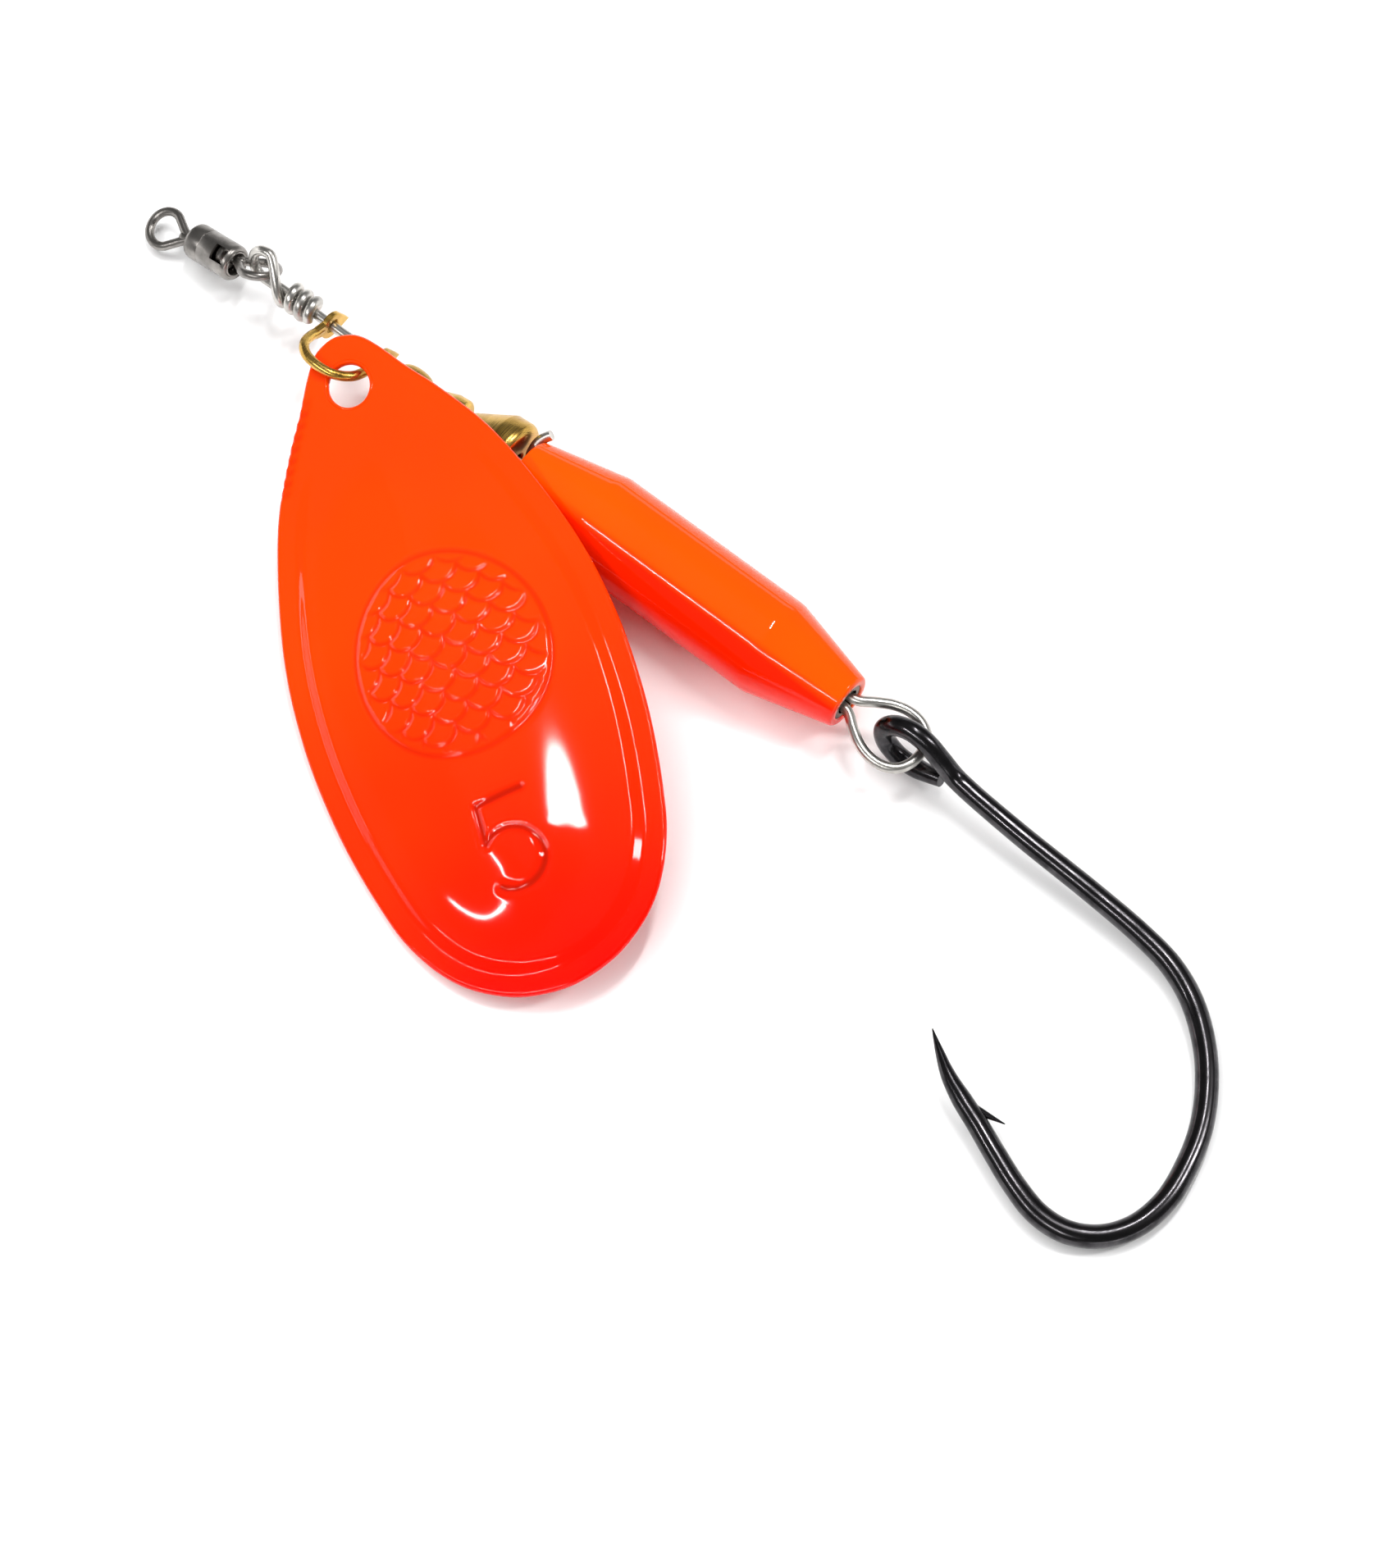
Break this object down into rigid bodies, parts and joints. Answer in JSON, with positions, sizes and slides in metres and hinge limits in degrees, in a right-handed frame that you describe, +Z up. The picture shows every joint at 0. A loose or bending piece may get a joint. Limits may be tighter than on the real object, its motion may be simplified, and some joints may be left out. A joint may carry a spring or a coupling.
{
  "type": "inline spinner",
  "caption": "Fishing spinner: a wire shaft with a barrel swivel, a clevis and domed blade, brass bearings, a tapered body and a barbed hook.",
  "frame": {"origin": "middle of the lying spinner's box, on the surface that it lies on", "axes": "+X runs back along the shaft from the swivel to the hook, +Z is up out of the surface"},
  "size_m": [0.1114, 0.0384, 0.0079],
  "materials": {
    "steel_wire": "smooth drawn stainless wire",
    "orange_paint": "gloss fluorescent orange over brass",
    "brass": "bare turned and polished brass",
    "dark_nickel": "dark nickel plating",
    "black_nickel": "gloss black nickel plating"
  },
  "bodies": {
    "shaft": {"shaft_wire": "steel_wire", "body": "orange_paint"},
    "bell": {"bell": "brass"},
    "hub": {"hub": "brass"},
    "bead": {"bearing_bead": "brass"},
    "clevis": {"clevis": "brass"},
    "blade": {"blade": "orange_paint"},
    "swivel_rear": {"swivel_rear_eye": "dark_nickel"},
    "swivel_barrel": {"swivel_barrel": "dark_nickel"},
    "swivel_front": {"swivel_front_eye": "dark_nickel"},
    "hook": {"hook": "black_nickel"}
  },
  "joints": [
    {"name": "bell_spin", "type": "hinge", "parent": "shaft", "child": "bell", "pos_m": [-0.02084, 0.01529, 0.00395], "axis": [1, 0, 0], "continuous": true},
    {"name": "hub_spin", "type": "hinge", "parent": "shaft", "child": "hub", "pos_m": [-0.02484, 0.01529, 0.00395], "axis": [1, 0, 0], "continuous": true},
    {"name": "bead_spin", "type": "hinge", "parent": "shaft", "child": "bead", "pos_m": [-0.02834, 0.01529, 0.00395], "axis": [1, 0, 0], "continuous": true},
    {"name": "clevis_spin", "type": "hinge", "parent": "shaft", "child": "clevis", "pos_m": [-0.03414, 0.01529, 0.00395], "axis": [1, 0, 0], "continuous": true},
    {"name": "blade_swing", "type": "hinge", "parent": "clevis", "child": "blade", "pos_m": [-0.0313, 0.01149, 0.0055], "axis": [-0.0895, -0.2535, 0.9632], "range_deg": [-60, 30]},
    {"name": "swivel_swing", "type": "hinge", "parent": "shaft", "child": "swivel_rear", "pos_m": [-0.04364, 0.01566, 0.00498], "axis": [0, 0.342, 0.9397], "range_deg": [-10, 45]},
    {"name": "barrel_spin", "type": "hinge", "parent": "swivel_rear", "child": "swivel_barrel", "pos_m": [-0.04874, 0.01512, 0.00247], "axis": [-0.9763, 0.0125, -0.216], "continuous": true},
    {"name": "front_eye_spin", "type": "hinge", "parent": "swivel_barrel", "child": "swivel_front", "pos_m": [-0.04874, 0.01512, 0.00247], "axis": [-0.968, -0.0753, -0.2392], "continuous": true},
    {"name": "hook_swing", "type": "hinge", "parent": "shaft", "child": "hook", "pos_m": [0.02071, 0.01529, 0.00354], "axis": [0, 1, 0], "range_deg": [-60, 60]}
  ]
}
